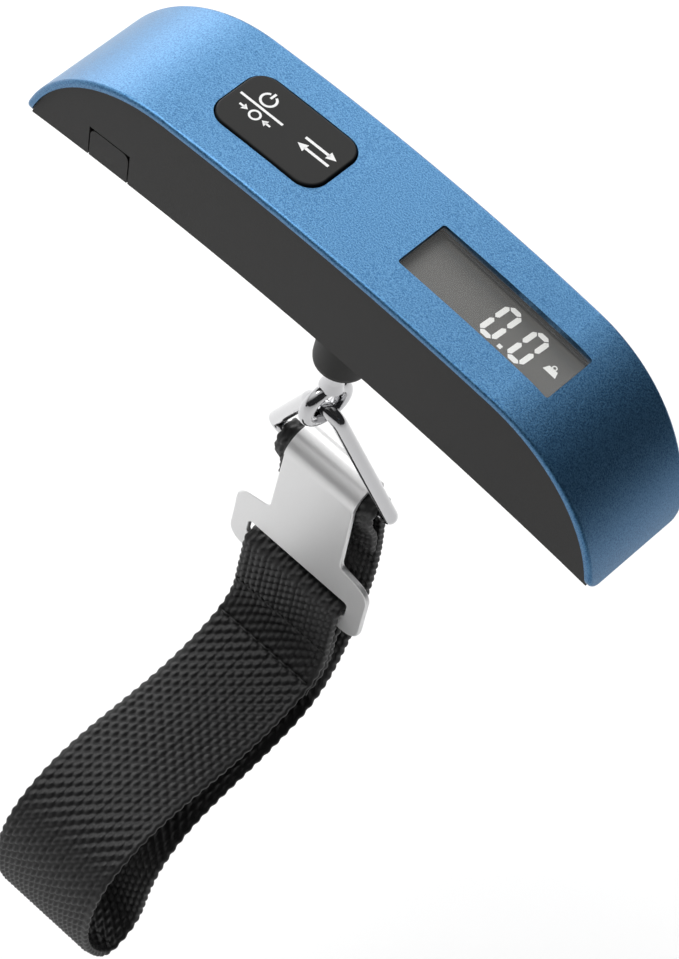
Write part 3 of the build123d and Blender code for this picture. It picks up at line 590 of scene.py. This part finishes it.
fold_turn = np.radians((30, 60, 90, 120, 150))
wrap_turn = np.radians((0, 30, 60, 90, 120, 150, 180))
fold = [
    on_plate(fold_centre[0] + fold_radius * math.cos(a), fold_centre[1] + fold_radius * math.sin(a))
    for a in fold_turn
]
wrap = [(wrap_radius * math.cos(a), wrap_radius * math.sin(a)) for a in wrap_turn]
sewn_tail = [(-2.1, -63.5), (1.2, -60.7), (2.6, -55.6), on_plate(-4.0, -50.0), on_plate(-3.95, -46.5)]
behind_plate = [on_plate(-2.4, -42.2), on_plate(-2.28, -39.0), on_plate(-2.28, -36.0)]
front_leg = [on_plate(-5.48, -36.0), on_plate(-5.48, -40.0), on_plate(-5.48, -45.0), on_plate(-5.42, -50.0)]
front_run = [(1.0, -55.2), (-0.6, -59.8), (-7.4, -65.0), (-20.0, -68.2), (-35.0, -68.4), (-49.0, -70.4)]
loop_end = [(-57.6, -77.0), (-60.2, -88.0), (-57.2, -101.5)]
loop_end += [(-51.0, -112.4), (-45.5, -116.6), (-41.0, -113.6)]
back_run = [(-39.2, -104.0), (-37.8, -94.0), (-32.0, -85.5), (-20.0, -80.5), (-7.0, -77.2), (2.6, -71.5)]
back_leg = [(6.9, -61.0), (8.3, -48.0), (8.2, -34.0), (6.6, -21.0), (3.8, -9.5), (2.6, -3.6)]
wrap_tail = [(-2.15, -2.8), (-0.6, -6.2), (1.7, -10.2), (3.4, -16.6)]
knots = sewn_tail + behind_plate + fold + front_leg + front_run + loop_end
knots = np.array(knots + back_run + back_leg + wrap + wrap_tail) * millimetre
webbing_line, webbing_run = smooth_path(knots, along_step)
seam_row = int(np.argmin(webbing_line[:, 1]))
fold_end = np.array(front_leg[0]) * millimetre
fold_row = int(np.argmin(np.linalg.norm(webbing_line - fold_end, axis=1)))
sew_rows = [fold_row + int(run / along_step) for run in sewn_at]


def shade_smooth(mesh):
    """Smooth shading on every face."""
    mesh.polygons.foreach_set("use_smooth", np.ones(len(mesh.polygons), dtype=bool))


def weave(run, across):
    """Height of the weave: columns of slanted oval floats, each shifted half a repeat."""
    column = across / column_pitch
    odd = np.floor(column + 0.5) % 2
    inside = column - np.floor(column + 0.5)
    rib = np.abs(np.cos(np.pi * inside))
    phase = run / float_repeat + 0.5 * odd + float_slant * inside
    return 2 * (rib * (0.5 + 0.5 * np.cos(2 * np.pi * phase))) ** float_fullness - 1


def weave_webbing(name, first, last):
    """The strap between two rows of its line: the flat section with round edges swept along it.
    The weave's height is added outwards, the selvedge is bumpy and sewn rows are drawn in."""
    line, run = webbing_line[first:last + 1], webbing_run[first:last + 1]
    way = np.gradient(webbing_line, axis=0)[first:last + 1]
    way /= np.linalg.norm(way, axis=1)[:, None]
    out = np.stack((way[:, 1], -way[:, 0]), axis=1)
    half = webbing_thick / 2
    flat = np.linspace(-1, 1, across_count) * (webbing_width / 2 - half)
    turn = np.linspace(np.pi / 2, -np.pi / 2, edge_count + 2)[1:-1]
    right_edge = np.stack((flat[-1] + half * np.cos(turn), half * np.sin(turn)), axis=1)
    top = np.stack((flat, np.full(across_count, half)), axis=1)
    section = np.vstack((top, right_edge, -top, -right_edge))
    face = np.abs(section[:, 1]) > half * face_share
    face_way = np.sign(section[:, 1]) * face
    edge_way = np.sign(section[:, 0]) * ~face
    grid_run, grid_across = np.meshgrid(run, section[:, 0], indexing="ij")
    from_edge = (webbing_width / 2 - np.abs(grid_across)) / edge_calm
    height = float_height * weave(grid_run, grid_across) * np.clip(from_edge, edge_calm_least, 1)
    for row in sew_rows:
        height -= stitch_groove * np.exp(-((grid_run - webbing_run[row]) / groove_width) ** 2)
    edge = edge_bump * (0.5 + 0.5 * np.cos(2 * np.pi * grid_run / float_repeat))
    x = bar_place.x + grid_across + edge_way * edge
    thick = section[:, 1] + face_way * height
    y = bar_place.y + line[:, 0:1] + out[:, 0:1] * thick
    z = bar_place.z + line[:, 1:2] + out[:, 1:2] * thick
    verts = np.stack((x, y, z), axis=2).reshape(-1, 3)
    rows, cols = len(line), len(section)
    i, j = np.meshgrid(np.arange(rows - 1) * cols, np.arange(cols), indexing="ij")
    k = (j + 1) % cols
    quads = np.stack((i + j, i + k, i + cols + k, i + cols + j), axis=2).reshape(-1, 4)
    ends = [tuple(range(cols))[::-1], tuple(range((rows - 1) * cols, rows * cols))]
    made = add_piece(name, verts.tolist(), quads.tolist() + ends, webbing_black)
    mesh = made.data
    layer = mesh.uv_layers.new(name="weave")
    around = np.concatenate(([0.0], np.cumsum(np.linalg.norm(np.diff(section, axis=0), axis=1))))
    corner = np.empty(len(mesh.loops), dtype=np.int32)
    mesh.loops.foreach_get("vertex_index", corner)
    uv = np.stack((run[corner // cols], around[corner % cols]), axis=1) * uv_per_metre
    layer.data.foreach_set("uv", uv.astype(np.float32).ravel())
    shade_smooth(mesh)
    return made


webbing_black, webbing_tree, webbing_shader = start_material(
    "black_webbing", (0.016, 0.016, 0.017), 0.6, Specular_IOR_Level=0.5
)
strand_place = add_node(webbing_tree, "ShaderNodeUVMap", uv_map="weave")
strand_scale = add_node(webbing_tree, "ShaderNodeMapping", {"Scale": (30.0, 90.0, 1.0)})
strands = add_noise(webbing_tree, 3.0)
webbing_tree.links.new(strand_place.outputs["UV"], strand_scale.inputs["Vector"])
webbing_tree.links.new(strand_scale.outputs["Vector"], strands.inputs["Vector"])
strand = strands.outputs["Fac"]
tint(webbing_tree, webbing_shader, strand, (0.0025, 0.0025, 0.0026), (0.0095, 0.0095, 0.0098))
roughen(webbing_tree, webbing_shader, strand, 0.42, 0.62)
emboss(webbing_tree, webbing_shader, strand, 0.00006)
wear(webbing_black, "strap", "strap_end")

webbing_front = weave_webbing("webbing_front", 0, seam_row)
webbing_back = weave_webbing("webbing_back", seam_row, len(webbing_line) - 1)
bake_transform(webbing_front)
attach(webbing_back, "webbing")
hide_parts("strap_end", "strap")

# ---------------------------------------------------------------- lap stitching
# Two rows of thick black polyester thread, machine sewn across the folded end of the webbing.
# Each stitch lies sunk in the groove that its pull makes.

stitch_pitch = 0.0027
stitch_length = 0.0021
stitch_radius = 0.00026
stitch_reach = 0.0108
stitch_lift = 0.0004
stitch_blunt = 0.03
stitch_rings, stitch_sides = 7, 8


def sew_rows_of_thread(name):
    """Stitches on each sewn row: spindles along x whose rings follow a half circle."""
    along = np.cos(np.pi * np.linspace(1 - stitch_blunt, stitch_blunt, stitch_rings))
    radius = np.sqrt(1 - along**2)
    turn = np.linspace(0, 2 * np.pi, stitch_sides, endpoint=False)
    spindle_x = np.repeat(along, stitch_sides) * stitch_length / 2
    spindle_out = np.outer(radius, np.cos(turn)).ravel() * stitch_radius
    spindle_way = np.outer(radius, np.sin(turn)).ravel() * stitch_radius
    middles = np.arange(-stitch_reach, stitch_reach + 1e-6, stitch_pitch)
    verts, faces = [], []
    ring, side = np.meshgrid(
        np.arange(stitch_rings - 1) * stitch_sides, np.arange(stitch_sides), indexing="ij"
    )
    after, beside = ring + stitch_sides, (side + 1) % stitch_sides
    quads = np.stack((ring + side, after + side, after + beside, ring + beside), axis=2).reshape(-1, 4)
    last = (stitch_rings - 1) * stitch_sides
    caps = [tuple(range(stitch_sides)), tuple(range(last, last + stitch_sides))[::-1]]
    for row in sew_rows:
        way = webbing_line[row + 1] - webbing_line[row - 1]
        way = way / np.linalg.norm(way)
        out = np.array((way[1], -way[0]))
        centre = webbing_line[row] + out * (webbing_thick / 2 - stitch_groove + stitch_lift)
        for middle in middles:
            start = sum(len(v) for v in verts)
            x = middle + spindle_x
            y = centre[0] + out[0] * spindle_out + way[0] * spindle_way
            z = centre[1] + out[1] * spindle_out + way[1] * spindle_way
            verts.append(np.stack((x, y, z), axis=1) + np.array(bar_place))
            faces += (quads + start).tolist() + [tuple(i + start for i in cap) for cap in caps]
    made = add_piece(name, np.vstack(verts).tolist(), faces, thread_black)
    shade_smooth(made.data)
    return made


thread_black, thread_tree, thread_shader = start_material("black_thread", (0.012, 0.012, 0.012), 0.45)
twist = grain(thread_tree, 0.0002, 2.0)
tint(thread_tree, thread_shader, twist, (0.006, 0.006, 0.006), (0.02, 0.02, 0.02))
lap_stitching = sew_rows_of_thread("lap_stitching")
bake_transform(lap_stitching)
